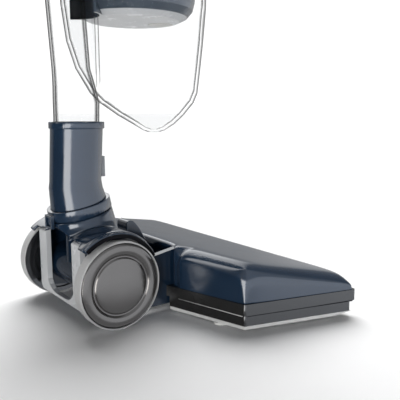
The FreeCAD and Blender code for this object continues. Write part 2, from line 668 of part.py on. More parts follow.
def sector(name, start_deg, end_deg, half_width):
    """A wedge about the axle between two angles measured up from straight ahead."""
    reach = 90
    steps = 4
    points = [("0", "wheel_radius")]
    for k in range(steps + 1):
        angle = math.radians(start_deg + (end_deg - start_deg) * k / steps)
        points.append((f"{reach * math.cos(angle):.4f}", f"wheel_radius + {reach * math.sin(angle):.4f}"))
    return side_plate(name, points, f"2 * ({half_width})")


def yoke_hood():
    """Glossy hood: a flared skirt under the swivel, a saddle over the carriage and a fender over each wheel."""
    saddle = common("saddle", cross_bar("saddle_drum", "saddle_outer", "arm_outer_y + 2.2", "0", "wheel_radius"),
                    sector("saddle_sector", 44, 133, "arm_outer_y + 2.2"))
    fenders = common("fenders", cross_bar("fender_drum", "fender_outer", "fender_y", "0", "wheel_radius"),
                     sector("fender_sector", 26, 132, "fender_y"))
    low_x, low_z = along_swivel("-collar_half - 0.7")
    skirt_rows = [(low_x, low_z, "24.3", "24.29", "swivel_tilt"), ("-1.4", "71.5", "26.6", "25", "swivel_tilt / 2"),
                  ("-0.6", "64", "38", "24.4", "0"), ("0", "52", "45", "24", "0")]
    outside = loft("skirt_outside", oval_sections("skirt_outside", skirt_rows, "0"))
    inside = loft("skirt_inside", oval_sections("skirt_inside", skirt_rows, "hood_wall"))
    tunnel = cross_bar("saddle_bore", "saddle_inner", "arm_outer_y + running_gap", "0", "wheel_radius")
    wheels = cross_bar("fender_bore", "fender_inner", "80", "0", "wheel_radius")
    neck_hole = swivel_disc("hood_neck_hole", "22.6", "-collar_half - 4", "collar_half + 4")
    rear = rear_mouth()
    keep("yoke_hood", cut("yoke_hood", fuse("hood_blank", outside, saddle, fenders), inside, tunnel, wheels,
                          neck_hole, rear))


def oval_sections(name, rows, inset):
    """Sections wider across the machine than along it: rows of x, z, half width, half length and tilt."""
    items = []
    for k, (x, z, wide, long, tilt) in enumerate(rows):
        item = document.addObject("Part::Ellipse", f"{name}_{k}")
        bind(item, MajorRadius=f"({wide}) - ({inset})", MinorRadius=f"({long}) - ({inset})")
        degrees = size("swivel_tilt") * (1.0, 0.5, 0.0, 0.0)[k]
        item.Placement = Placement(Vector(), Rotation(Vector(0, 1, 0), -degrees).multiply(
            Rotation(Vector(0, 0, 1), 90)))
        items.append(place(item, (x, "0", z)))
    return items


def rear_mouth():
    """The tent-shaped opening in the rear of the hood."""
    body = document.addObject("PartDesign::Body", "rear_mouth")
    sketch = sketch_on(body, "mouth_outline", "YZ_Plane", "-60")
    draw_polygon(sketch, [("6.5", "69.4"), ("23.4", "61.8"), ("24.4", "63.6"), ("41", "62.5"), ("41", "10"),
                          ("-41", "10"), ("-41", "62.5"), ("-24.4", "63.6"), ("-23.4", "61.8"), ("-6.5", "69.4")])
    pad(body, sketch, "46")
    return body


def yoke_fork():
    """Inner fork: two ears on the axle and a bridge that carries the swivel."""
    ears = side_plate("ear_side", [("-11", "wheel_radius"), ("-12", "66"), ("12", "66"), ("11", "wheel_radius")],
                      "2 * ear_outer_y")
    eyes = cross_bar("ear_eyes", "11", "ear_outer_y", "0", "wheel_radius")
    gap = box("ear_gap", ("-20", "-ear_inner_y", "10"), ("20", "ear_inner_y", "61"))
    bore = cross_bar("ear_bore", "axle_radius + bearing_gap", "60", "0", "wheel_radius")
    throat = cylinder("fork_throat", "11.5", "30", ("0", "0", "50"))
    keep("yoke_fork", cut("yoke_fork", fuse("fork_blank", ears, eyes), gap, bore, throat))


def pivot_drum():
    """Hollow drum about the axle: air enters from the head through its front window and leaves upward."""
    shell = cross_bar("drum_shell", "drum_radius", "drum_half", "0", "wheel_radius")
    hollow = cross_bar("drum_hollow", "drum_radius - drum_wall", "drum_half - drum_wall", "0", "wheel_radius")
    bore = cross_bar("drum_bore", "axle_radius + bearing_gap", "60", "0", "wheel_radius")
    window = box("drum_window", ("0", "-(channel_half - channel_wall)", "channel_low_z + channel_wall"),
                 ("40", "channel_half - channel_wall", "wheel_radius + 13"))
    riser = cylinder("drum_riser", "15", "61 - wheel_radius - 0.2", ("0", "0", "wheel_radius + 0.2"))
    throat = cylinder("drum_throat", "11.5", "60", ("0", "0", "wheel_radius + 6"))
    keep("pivot_drum", cut("pivot_drum", fuse("drum_blank", shell, riser), hollow, bore, window, throat))


def swivel_collar():
    """Ring on top of the hood that the neck turns in, with a small cable clip at its rear."""
    ring = swivel_ring("collar_ring", "collar_radius", "collar_bore", "-collar_half", "collar_half")
    rear_x = "swivel_x - collar_radius"
    lug = box("collar_lug", (f"{rear_x} - 1.6", "-6", "swivel_z - 14"), (f"{rear_x} + 1.2", "6", "swivel_z - 4"))
    slot = box("collar_lug_slot", (f"{rear_x} - 4", "-4.2", "swivel_z - 12.4"),
               (f"{rear_x} + 1", "4.2", "swivel_z - 5.8"))
    inside = swivel_disc("collar_inside", "collar_bore", "-30", "30")
    keep("swivel_collar", cut("swivel_collar", fuse("collar_blank", ring, lug), slot, inside))


# ------------------------------------------------------------------ neck and duct

NECK_ROWS = [("-6.0", "98.5", "20.4"), ("-6.1", "104", "19.7"), ("-3.5", "neck_rim_z", "19.8")]
DUCT_ROWS = [("duct_low_z", "-5.2", "17.2"), ("150", "-3.5", "17.2"), ("163", "-3.2", "17.4"),
             ("176", "-4.6", "15.8"), ("188", "-6.5", "14.2"), ("238", "-9.4", "14.2"), ("346", "-15.8", "14.2")]


def neck_sleeve():
    """Upright sleeve whose foot flares onto the swivel, with the turning spigot that the collar holds."""
    foot_x, foot_z = along_swivel("collar_half + 0.4")

    def tube_loft(name, inset):
        foot = section(name + "_foot", f"21.7 - ({inset})", f"{foot_x} + 0.2", foot_z, "swivel_tilt")
        rest = [section(f"{name}_{k}", f"({radius}) - ({inset})", x, z) for k, (x, z, radius) in enumerate(NECK_ROWS)]
        return loft(name, [foot] + rest)

    bore = tube_loft("neck_bore", "neck_wall")
    window = box("button_window", ("8", "-6.3", "105.7"), ("30", "6.3", "122.3"))
    sleeve = cut("neck_tube", tube_loft("neck_skin", "0"), bore, window)
    spigot = swivel_ring("spigot_tube", "spigot_radius", "spigot_bore", "-collar_half - 3.2", "collar_half + 0.8")
    flange = swivel_ring("spigot_flange", "22.2", "spigot_bore", "-collar_half - 3.2", "-collar_half - 0.6")
    land = swivel_ring("spigot_land", "20.6", "spigot_bore", "collar_half + 0.4", "collar_half + 2")
    keep("neck_sleeve", fuse("neck_sleeve", sleeve, spigot, flange, land))


def neck_rim():
    """Clamping rim at the mouth of the neck."""
    keep("neck_rim", tube("neck_rim", "rim_radius", "20.15", "rim_height",
                          ("-3.6", "0", "neck_rim_z - rim_height + 0.6")))


def air_duct():
    """Clear duct that leans back from the neck to the motor housing."""
    rows = [(z, x, radius) for z, x, radius in DUCT_ROWS]
    bore_rows = [("duct_low_z - 1", "-5.2", "17.2")] + rows[1:-1] + [("347", "-15.86", "14.2")]
    keep("air_duct", cut("air_duct", stacked_loft("duct_skin", rows),
                         stacked_loft("duct_bore", bore_rows, "duct_wall")))


def neck_button():
    """Release button in the front of the neck."""
    block = box("button_block", ("13.3", "-6", "106"), ("16.4", "6", "122"))
    keep("neck_button", block, "13.3")


# ------------------------------------------------------------------ dirty water tank

TANK_ROWS = [(139.4, 66.4, 5.0), (141.0, 66.4, 9.4), (146.0, 66.2, 17.4), (153.0, 63.5, 27.2),
             (163.0, 60.0, 38.4), (171.0, 57.4, 43.9), (190.0, 52.4, 50.2), (211.0, 50.0, 54.4),
             (238.0, 49.5, 57.2), (size("tank_top_z"), 49.5, 58.5)]


def bowl_solid(inset, lift):
    """The tank's outline as a solid: rings of (level, centre, radius), drawn in by `inset` and raised by `lift`."""
    rings = []
    for level, centre, radius in TANK_ROWS:
        circle = Part.Circle(Vector(centre, 0, level + lift), Vector(0, 0, 1), radius - inset)
        rings.append(Part.Wire(circle.toShape()))
    return Part.makeLoft(rings, True, True)


def groove_solid(extra):
    """The rear channel of the tank as a solid, widened by `extra`."""
    radius = size("groove_radius") + extra
    centre = size("groove_x")
    rod = Part.makeCylinder(radius, 300, Vector(centre, 0, 130))
    slot = Part.makeBox(80, 2 * radius, 300, Vector(centre - 80, -radius, 130))
    return rod.fuse(slot).removeSplitter()


def groove(name, extra, low_z, high_z):
    """The rear channel that lets a tank straddle the duct."""
    radius = f"groove_radius + ({extra})"
    rod = cylinder(name + "_rod", radius, f"({high_z}) - ({low_z})", ("groove_x", "0", low_z))
    slot = box(name + "_slot", ("-90", f"-({radius})", low_z), ("groove_x", radius, high_z))
    return fuse(name, rod, slot)


def tank_shell():
    """Clear round-bottomed tank with a groove up its back."""
    wall = size("tank_wall")
    skin = bowl_solid(0, 0).cut(groove_solid(0))
    hollow = bowl_solid(wall, 0.8 * wall).cut(groove_solid(wall))
    item = document.addObject("Part::Feature", "dirty_tank_shell")
    item.Shape = skin.cut(hollow)
    item.Placement = Placement()
    keep("dirty_tank_shell", item)


def tank_lid():
    """Lid with a rim inside the tank, an inlet and an outlet to the fan."""
    plate = cylinder("lid_plate", "58.5", "lid_height", ("49.5", "0", "tank_top_z"))
    rim = tube("lid_rim", "58.5 - tank_wall - 0.3", "51", "7", ("49.5", "0", "tank_top_z - 7"))
    outlet = cylinder("lid_outlet", "18", "40", ("fan_x", "0", "tank_top_z - 20"))
    keep("tank_lid", cut("tank_lid", fuse("lid_blank", plate, rim), groove("lid_groove", "tank_wall + 0.3", "300",
                                                                           "400"), outlet))


def separator_basket():
    """Navy cup that hangs from the lid, keeps water out of the air path and guides the float."""
    radius, low, wall = "basket_radius", "basket_low_z", "basket_wall"
    cup = turned("basket_cup", [
        ("0", low), (f"{radius} - 13", low), (f"{radius} - 6.5", f"{low} + 3"), (f"{radius} - 2.2", f"{low} + 8"),
        (f"{radius} - 0.4", f"{low} + 15"), (radius, f"{low} + 24"), (radius, "tank_top_z - 8"),
        (f"{radius} - {wall}", "tank_top_z - 8"), (f"{radius} - {wall}", f"{low} + 24"),
        (f"{radius} - {wall} - 0.4", f"{low} + 15.6"), (f"{radius} - {wall} - 2", f"{low} + 9.4"),
        (f"{radius} - {wall} - 5.6", f"{low} + 5"), (f"{radius} - 13.6", f"{low} + {wall}"), ("0", f"{low} + {wall}"),
    ], ("basket_x", "0", "0"))
    back = cut("basket_back", common("basket_back_blank", groove("basket_back_outer", "tank_wall + 2.8",
                                                                 "basket_low_z", "tank_top_z - 8"),
                                     cylinder("basket_limit", "basket_radius", "200", ("basket_x", "0", "200"))),
               groove("basket_back_inner", "tank_wall + 0.8", "200", "400"))
    drain = cylinder("basket_drain", "9.5", "8", ("74", "0", "basket_low_z - 1"))
    opened = cut("basket_opened", cup, groove("basket_groove", "tank_wall + 0.8", "200", "400"), drain)
    rod = cylinder("float_rod", "2", "54", ("fan_x + 4", "0", "basket_low_z + basket_wall"))
    foot = cylinder("float_rod_foot", "6", "3", ("fan_x + 4", "0", "basket_low_z + basket_wall"))
    keep("separator_basket", fuse("separator_basket", opened, back, rod, foot))


def tank_filter():
    """Filter cartridge under the lid's outlet."""
    keep("filter_cartridge", tube("filter_cartridge", "filter_radius", "16", "46",
                                  ("fan_x + 4", "0", "tank_top_z - 46 - 0.5")))


def float_valve():
    """Float that rises with the water on the basket's rod and shuts the air path."""
    keep("float_valve", tube("float_valve", "12", "2.15", "14",
                             ("fan_x + 4", "0", "basket_low_z + basket_wall + 3.2")))


# ------------------------------------------------------------------ motor housing

HOUSING_ROWS = [("housing_low_z", "39", "72", "60"), ("355", "39", "73", "61"), ("430", "36", "70", "58"),
                ("housing_top_z", "33", "66", "54")]


def housing_shells():
    """Left and right mouldings of the motor housing with half of the handle's socket, open at the battery bay."""
    inner_rows = [("housing_low_z - 1",) + HOUSING_ROWS[0][1:], HOUSING_ROWS[1], HOUSING_ROWS[2],
                  ("housing_top_z - housing_wall",) + HOUSING_ROWS[3][1:]]
    shell = cut("housing_shell", stacked_loft("housing_skin", HOUSING_ROWS),
                stacked_loft("housing_hollow", inner_rows, "housing_wall"),
                box("battery_window", ("-80", "-(battery_half + 0.4)", "battery_low_z - 0.4"),
                    ("battery_front_x", "battery_half + 0.4", "battery_top_z + 0.4")),
                latch_window())
    socket = cut("socket_ring", handle_disc("socket_rod", "tube_radius + 4.5", "-6", "socket_length"),
                 handle_disc("socket_bore", "tube_radius", "3", "socket_length + 1"), socket_trim())
    whole = fuse("housing_and_socket", shell, socket)
    for side, low, high in (("right", "-90", "0"), ("left", "0", "90")):
        half = box(f"housing_side_{side}", ("-90", low, "300"), ("140", high, "600"))
        keep(f"housing_{side}", common(f"housing_{side}", whole, half))


def socket_trim():
    """Everything below the housing's roof, so that the socket stays clear of the battery bay."""
    return box("socket_trim", ("-90", "-90", "housing_top_z - 60"), ("90", "90", "housing_top_z - housing_wall"))


def latch_window():
    return box("tank_latch_window", ("100", "-10.3", "344.7"), ("130", "10.3", "362.3"))


def tank_latch_button():
    """Press button on the front of the housing that lets the dirty water tank go."""
    block = box("tank_latch_block", ("106.5", "-10", "345"), ("113.6", "10", "362"))
    keep("tank_latch_button", block, "106.5")


def housing_floor():
    """Floor of the motor housing, with the duct's socket and the fan's inlet."""
    plate = section("floor_oval", "72 - housing_wall - 0.1", "39", "housing_low_z", minor="60 - housing_wall - 0.1")
    top = section("floor_oval_top", "72 - housing_wall - 0.1", "39", "housing_low_z + 3",
                  minor="60 - housing_wall - 0.1")
    blank = loft("floor_blank", [plate, top])
    inlet = cylinder("floor_inlet", "16", "20", ("fan_x", "0", "housing_low_z - 5"))
    duct_hole = cylinder("floor_duct_hole", "14.5", "20", ("-15.4", "0", "housing_low_z - 5"))
    keep("housing_floor", cut("housing_floor", blank, inlet, duct_hole))


def suction_motor():
    """Suction fan: the stator case, and the rotor with its impeller."""
    low, high = "housing_low_z + 24", "housing_low_z + 96"
    case = turned("case_turned", [
        ("armature_radius + 3", low), ("fan_case_radius", low), ("fan_case_radius", high), ("3.06", high),
        ("3.06", f"{high} - 4"), ("armature_radius + 3", f"{high} - 4"),
    ], ("fan_x", "0", "0"))
    keep("suction_motor_case", case, "fan_x")
    rotor = turned("rotor_turned", [
        ("0", f"{low} - 14"), ("8", f"{low} - 14"), ("fan_radius", f"{low} - 8"), ("fan_radius", f"{low} - 2"),
        ("3", f"{low} - 2"), ("3", f"{low} + 8"), ("armature_radius", f"{low} + 8"),
        ("armature_radius", f"{high} - 14"), ("3", f"{high} - 14"), ("3", f"{high} - 0.6"), ("0", f"{high} - 0.6"),
    ], ("fan_x", "0", "0"))
    keep("suction_rotor", rotor, "fan_x")


def electronics():
    """Circuit board that stands between the motor and the battery."""
    board = box("board_plate", ("4", "-30", "372"), ("5.6", "30", "452"))
    parts = [box(f"board_part_{k}", ("5.6", f"{-24 + 18 * k}", f"{380 + 14 * k}"),
                 ("9.5", f"{-14 + 18 * k}", f"{394 + 14 * k}")) for k in range(3)]
    keep("circuit_board", fuse("circuit_board", board, *parts))


# ------------------------------------------------------------------ battery

def battery():
    """Battery case with its cells and its latch."""
    wall = 2
    low = ("battery_rear_x", "-battery_half", "battery_low_z")
    high = ("battery_front_x", "battery_half", "battery_top_z")
    inside_low = tuple(f"({value}) + {wall}" for value in low)
    inside_high = tuple(f"({value}) - {wall}" for value in high)
    keep("battery_case", cut("battery_case", box("battery_block", low, high),
                             box("battery_hollow", inside_low, inside_high)))
    cells = []
    for row in range(2):
        for column in range(2):
            x = f"battery_rear_x + 11.6 + {19 * row}"
            y = f"{-9.6 + 19.2 * column}"
            cells.append(cylinder(f"cell_{row}_{column}", "cell_radius", "cell_height", (x, y, "battery_low_z + 6")))
    keep("battery_cells", fuse("battery_cells", *cells))
    latch = box("battery_latch_block", ("battery_rear_x - 3.2", "-8", "battery_top_z - 18"),
                ("battery_rear_x - 0.3", "8", "battery_top_z - 8"))
    keep("battery_latch", latch, "battery_rear_x - 3.2")


# ------------------------------------------------------------------ clean water tank

def clean_tank():
    """Clean water tank that stands on the motor housing in front of the handle."""
    profile = [
        ("0", "clean_low_z"), ("clean_radius - 4", "clean_low_z"), ("clean_radius", "clean_low_z + 5"),
        ("clean_radius - 3", "clean_top_z - 30"), ("clean_radius - 14", "clean_top_z - 8"),
        ("clean_neck_radius", "clean_top_z - 6"), ("clean_neck_radius", "clean_top_z"),
        ("clean_neck_radius - 2", "clean_top_z"), ("clean_neck_radius - 2", "clean_top_z - 8"),
        ("clean_radius - 16", "clean_top_z - 10"), ("clean_radius - 5.2", "clean_top_z - 31"),
        ("clean_radius - 2.2", "clean_low_z + 6"), ("clean_radius - 5", "clean_low_z + 2.2"),
        ("0", "clean_low_z + 2.2"),
    ]
    keep("clean_tank_shell", turned("clean_tank_shell", profile, ("clean_x", "0", "0")), "clean_x")
    cap = [("0", "clean_top_z + 0.3"), ("clean_neck_radius + 0.4", "clean_top_z + 0.3"),
           ("clean_neck_radius + 0.4", "clean_top_z - 5"), ("clean_neck_radius + 3", "clean_top_z - 5"),
           ("clean_neck_radius + 3", "clean_top_z + 3"), ("clean_neck_radius + 1.5", "clean_top_z + 4.5"),
           ("0", "clean_top_z + 4.5")]
    keep("clean_tank_cap", turned("clean_tank_cap", cap, ("clean_x", "0", "0")), "clean_x")


# ------------------------------------------------------------------ handle

def handle():
    """Aluminium tube, control pod and two-part grip, all on one leaning axis."""
    keep("handle_tube", handle_ring("handle_tube", "tube_radius", "tube_radius - tube_wall", "4", "tube_length"))
    pod = handle_ring("pod_ring", "pod_radius", "tube_radius", "pod_start", "pod_start + pod_length")
    wells = [handle_block(f"pod_well_{k}", ("-30", "-6.3", low), ("-18.5", "6.3", high))
             for k, (low, high) in enumerate(BUTTON_SPANS_WITH_GAP)]
    face = handle_block("pod_face", ("-30", "-8.4", "pod_start + 41.7"), ("-20", "8.4", "pod_start + 58.3"))
    keep("control_pod", cut("control_pod", pod, face, *wells))
    keep("display_panel", common("display_panel", handle_block("display_block", ("-30", "-8.2", "pod_start + 42"),
                                                               ("-20", "8.2", "pod_start + 58")),
                                 handle_disc("display_limit", "pod_radius", "pod_start", "pod_start + pod_length")))
    grip_start = "pod_start + pod_length"
    grip = cut("grip_blank", fuse("grip_solid", handle_disc("grip_rod", "grip_radius", grip_start,
                                                            f"{grip_start} + grip_length - 12"),
                                  handle_disc("grip_end", "grip_radius - 3", f"{grip_start} + grip_length - 12",
                                              f"{grip_start} + grip_length")),
               handle_disc("grip_hollow", "grip_radius - 3", f"{grip_start} + 3",
                           f"{grip_start} + grip_length - 14"),
               handle_disc("grip_mouth", "tube_radius", f"{grip_start} - 1", f"{grip_start} + 4"),
               handle_block("trigger_window", ("8", "-6.4", f"{grip_start} + 9"),
                            ("30", "6.4", f"{grip_start} + 51")))
    for side, low, high in (("right", "-60", "0"), ("left", "0", "60")):
        half = handle_block(f"grip_side_{side}", ("-60", low, f"{grip_start} - 5"), ("60", high, f"{grip_start} + 200"))
        keep(f"grip_{side}", common(f"grip_{side}", grip, half))


BUTTON_SPANS = [("pod_start + 6", "pod_start + 18"), ("pod_start + 23", "pod_start + 35")]
BUTTON_SPANS_WITH_GAP = [(f"{low} - 0.3", f"{high} + 0.3") for low, high in BUTTON_SPANS]


def pod_buttons():
    """Power and mode buttons on the rear of the pod."""
    for name, (low, high) in zip(("power_button", "mode_button"), BUTTON_SPANS):
        block = handle_block(name + "_block", ("-24.5", "-6", low), ("-20.4", "6", high))
        wrapped = fuse(name, block, handle_block(name + "_stem", ("-20.8", "-2.5", f"({low}) + 3"),
                                                 ("-20.1", "2.5", f"({high}) - 3")))
        keep(name, wrapped)


def trigger():
    """Spray trigger on the front of the grip, and the pin that it turns on."""
    start = "pod_start + pod_length"
    blade = handle_block("trigger_blade", ("12.4", "-6", f"{start} + 10"), ("21.5", "6", f"{start} + 50"))
    bore = handle_pin("trigger_bore", "1.56", f"{start} + 47", "7")
    keep("spray_trigger", cut("spray_trigger", blade, bore))
    keep("trigger_pin", handle_pin("trigger_pin_rod", "1.5", f"{start} + 47", "6.4"),
         f"handle_x + 15 * cos(handle_lean) - ({start} + 47) * sin(handle_lean)")


def handle_pin(name, radius, height, half):
    """A cross pin through the handle, 15 mm in front of its axis."""
    item = document.addObject("Part::Cylinder", name)
    bind(item, Radius=radius, Height=f"2 * ({half})")
    item.Placement = Placement(Vector(), AXIS_TURN["Y"])
    return place(item, (f"handle_x + 15 * cos(handle_lean) - ({height}) * sin(handle_lean)", f"-({half})",
                        f"housing_top_z + 15 * sin(handle_lean) + ({height}) * cos(handle_lean)"))


# ------------------------------------------------------------------ build, check and write

def check_document():
    """Stop if any object failed or any sub-part's shape is missing or invalid."""
    document.recompute()
    for item in document.Objects:
        if "Invalid" in item.State or "Error" in item.State:
            raise RuntimeError(f"{item.Label} failed: {item.State}")
    for item in SUB_PARTS:
        if item.Shape.isNull() or not item.Shape.isValid() or not item.Shape.Solids:
            raise RuntimeError(f"{item.Label} has no valid solid")


def write_parts():
    os.makedirs("parts", exist_ok=True)
    for item in SUB_PARTS:
        item.Shape.exportStep(f"parts/{item.Label}.step")
        box_of = item.Shape.BoundBox
        print(f"{item.Label:22s} solids {len(item.Shape.Solids)}  volume {item.Shape.Volume / 1000:8.2f} cm3  "
              f"x {box_of.XMin:7.1f} {box_of.XMax:7.1f}  y {box_of.YMin:7.1f} {box_of.YMax:7.1f}  "
              f"z {box_of.ZMin:7.1f} {box_of.ZMax:7.1f}")


def main():
    top_cover()
    bumper_strip()
    lower_band()
    sole_plate()
    squeegee()
    glide_pads()
    brush_tunnel()
    suction_channel()
    brush_bearings()
    brush_roller()
    brush_motor()
    drive_belt()
    spray_bar()
    head_screws()
    carriage_frame()
    rear_trim()
    axle()
    for side, sign in (("left", 1), ("right", -1)):
        wheel(side, sign)
    yoke_hood()
    yoke_fork()
    pivot_drum()
    swivel_collar()
    neck_sleeve()
    neck_rim()
    air_duct()
    neck_button()
    tank_shell()
    tank_lid()
    separator_basket()
    tank_filter()
    float_valve()
    housing_shells()
    housing_floor()
    tank_latch_button()
    suction_motor()
    electronics()
    battery()
    clean_tank()
    handle()
    pod_buttons()
    trigger()
    check_document()
    write_parts()


main()
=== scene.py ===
import json
import math

import bmesh
import bpy
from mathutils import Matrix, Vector


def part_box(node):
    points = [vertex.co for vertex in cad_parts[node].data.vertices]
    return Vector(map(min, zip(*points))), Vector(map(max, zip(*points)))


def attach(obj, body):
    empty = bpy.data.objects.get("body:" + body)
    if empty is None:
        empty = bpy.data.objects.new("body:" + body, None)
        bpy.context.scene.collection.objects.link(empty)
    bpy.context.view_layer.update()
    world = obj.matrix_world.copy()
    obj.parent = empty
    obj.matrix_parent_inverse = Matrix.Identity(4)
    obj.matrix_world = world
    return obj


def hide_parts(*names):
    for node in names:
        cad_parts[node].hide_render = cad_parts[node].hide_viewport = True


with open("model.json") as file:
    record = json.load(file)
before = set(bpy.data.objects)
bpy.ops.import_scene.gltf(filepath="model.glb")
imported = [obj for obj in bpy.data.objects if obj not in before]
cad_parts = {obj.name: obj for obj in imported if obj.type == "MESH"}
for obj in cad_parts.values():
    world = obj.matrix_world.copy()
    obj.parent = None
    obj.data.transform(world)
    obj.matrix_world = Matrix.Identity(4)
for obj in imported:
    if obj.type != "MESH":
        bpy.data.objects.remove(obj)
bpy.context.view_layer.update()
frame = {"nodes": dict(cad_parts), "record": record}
NODES = frame["nodes"]
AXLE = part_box("wheel_axle")
AXLE_X = 0.5 * (AXLE[0].x + AXLE[1].x)
PLASTIC_IOR = 1.5


# ------------------------------------------------------------------ materials

def new_material(name):
    """A node material, with its tree and its main shader."""
    mat = bpy.data.materials.new(name)
    mat.use_nodes = True
    tree = mat.node_tree
    return mat, tree, tree.nodes["Principled BSDF"]


def link(tree, source, target):
    tree.links.new(source, target)


def object_coordinates(tree, stretch=(1, 1, 1)):
    """Object coordinates in metres, with an optional stretch along each axis."""
    coord = tree.nodes.new("ShaderNodeTexCoord")
    mapping = tree.nodes.new("ShaderNodeMapping")
    mapping.inputs["Scale"].default_value = stretch
    link(tree, coord.outputs["Object"], mapping.inputs["Vector"])
    return mapping.outputs["Vector"]


def noise(tree, vector, scale, detail=3.0, roughness=0.5):
    node = tree.nodes.new("ShaderNodeTexNoise")
    node.inputs["Scale"].default_value = scale
    node.inputs["Detail"].default_value = detail
    node.inputs["Roughness"].default_value = roughness
    link(tree, vector, node.inputs["Vector"])
    return node.outputs["Fac"]


def remap(tree, source, low, high, start=0.3, end=0.7):
    node = tree.nodes.new("ShaderNodeMapRange")
    node.inputs["From Min"].default_value = start
    node.inputs["From Max"].default_value = end
    node.inputs["To Min"].default_value = low
    node.inputs["To Max"].default_value = high
    link(tree, source, node.inputs["Value"])
    return node.outputs["Result"]


def ramp(tree, source, dark, light, start=0.3, end=0.7):
    node = tree.nodes.new("ShaderNodeValToRGB")
    node.color_ramp.elements[0].position = start
    node.color_ramp.elements[1].position = end
    node.color_ramp.elements[0].color = (*dark, 1)
    node.color_ramp.elements[1].color = (*light, 1)
    link(tree, source, node.inputs["Fac"])
    return node.outputs["Color"]


def bump(tree, shader, height, strength, distance):
    node = tree.nodes.new("ShaderNodeBump")
    node.inputs["Strength"].default_value = strength
    node.inputs["Distance"].default_value = distance
    link(tree, height, node.inputs["Height"])
    link(tree, node.outputs["Normal"], shader.inputs["Normal"])


def shade(colour, factor):
    return tuple(min(1.0, channel * factor) for channel in colour)


def plastic(name, colour, rough, spread=0.12, grain=900.0, grain_depth=0.00003, metallic=0.0, coat=0.0,
            stretch=(1, 1, 1), bump_strength=0.15, specular=0.5):
    """Moulded plastic, rubber or metal: cloudy colour, uneven gloss and a fine surface grain."""
    mat, tree, shader = new_material(name)
    vector = object_coordinates(tree, stretch)
    cloud = noise(tree, vector, 18.0, 4.0)
    tone = ramp(tree, cloud, shade(colour, 1 - spread), shade(colour, 1 + spread))
    link(tree, tone, shader.inputs["Base Color"])
    gloss = noise(tree, vector, 45.0, 5.0, 0.6)
    link(tree, remap(tree, gloss, rough * 0.85, rough * 1.2), shader.inputs["Roughness"])
    bump(tree, shader, noise(tree, vector, grain, 2.0), bump_strength, grain_depth)
    shader.inputs["Metallic"].default_value = metallic
    shader.inputs["IOR"].default_value = PLASTIC_IOR
    shader.inputs["Specular IOR Level"].default_value = specular
    shader.inputs["Coat Weight"].default_value = coat
    shader.inputs["Coat Roughness"].default_value = 0.05
    return mat


def clear_plastic(name, tint, edge, edge_start, edge_end):
    """Clear moulded plastic: see-through face on; where the wall is seen edge on, a painted dark, shiny edge
    stands in for the dark that the wall reflects and bends there.
    """
    mat, tree, shader = new_material(name)
    vector = object_coordinates(tree)
    shader.inputs["Base Color"].default_value = (*edge, 1)
    shader.inputs["IOR"].default_value = PLASTIC_IOR
    shader.inputs["Specular IOR Level"].default_value = 0.15
    link(tree, remap(tree, noise(tree, vector, 60.0, 3.0), 0.03, 0.07), shader.inputs["Roughness"])
    bump(tree, shader, noise(tree, vector, 25.0, 2.0), 0.05, 0.0003)
    through = tree.nodes.new("ShaderNodeBsdfTransparent")
    through.inputs["Color"].default_value = (*tint, 1)
    facing = tree.nodes.new("ShaderNodeLayerWeight")
    facing.inputs["Blend"].default_value = 0.5
    # painted reflection: the wall turns to the dark edge colour as it is seen edge on
    edge_on_mask = remap(tree, facing.outputs["Facing"], 0.03, 0.95, edge_start, edge_end)
    mix = tree.nodes.new("ShaderNodeMixShader")
    link(tree, edge_on_mask, mix.inputs["Fac"])
    link(tree, through.outputs["BSDF"], mix.inputs[1])
    link(tree, shader.outputs["BSDF"], mix.inputs[2])
    link(tree, mix.outputs["Shader"], tree.nodes["Material Output"].inputs["Surface"])
    return mat


def painted_floor_reflection_below(name, colour, pale, rough):
    """Slate moulding whose underside is painted pale: a painted reflection of the lit floor, masked where the
    surface faces down in world space.
    """
    mat = plastic(name, colour, rough)
    tree = mat.node_tree
    shader = tree.nodes["Principled BSDF"]
    geometry = tree.nodes.new("ShaderNodeNewGeometry")
    parts = tree.nodes.new("ShaderNodeSeparateXYZ")
    link(tree, geometry.outputs["Normal"], parts.inputs["Vector"])
    # painted reflection: the pale colour goes where the surface faces the lit floor
    below = remap(tree, parts.outputs["Z"], 1.0, 0.0, -0.97, -0.8)
    painted_reflection = ramp(tree, noise(tree, object_coordinates(tree), 30.0), shade(pale, 0.96), pale)
    blend = tree.nodes.new("ShaderNodeMix")
    blend.data_type = "RGBA"
    link(tree, below, blend.inputs["Factor"])
    link(tree, shader.inputs["Base Color"].links[0].from_socket, blend.inputs["A"])
    link(tree, painted_reflection, blend.inputs["B"])
    link(tree, blend.outputs["Result"], shader.inputs["Base Color"])
    return mat


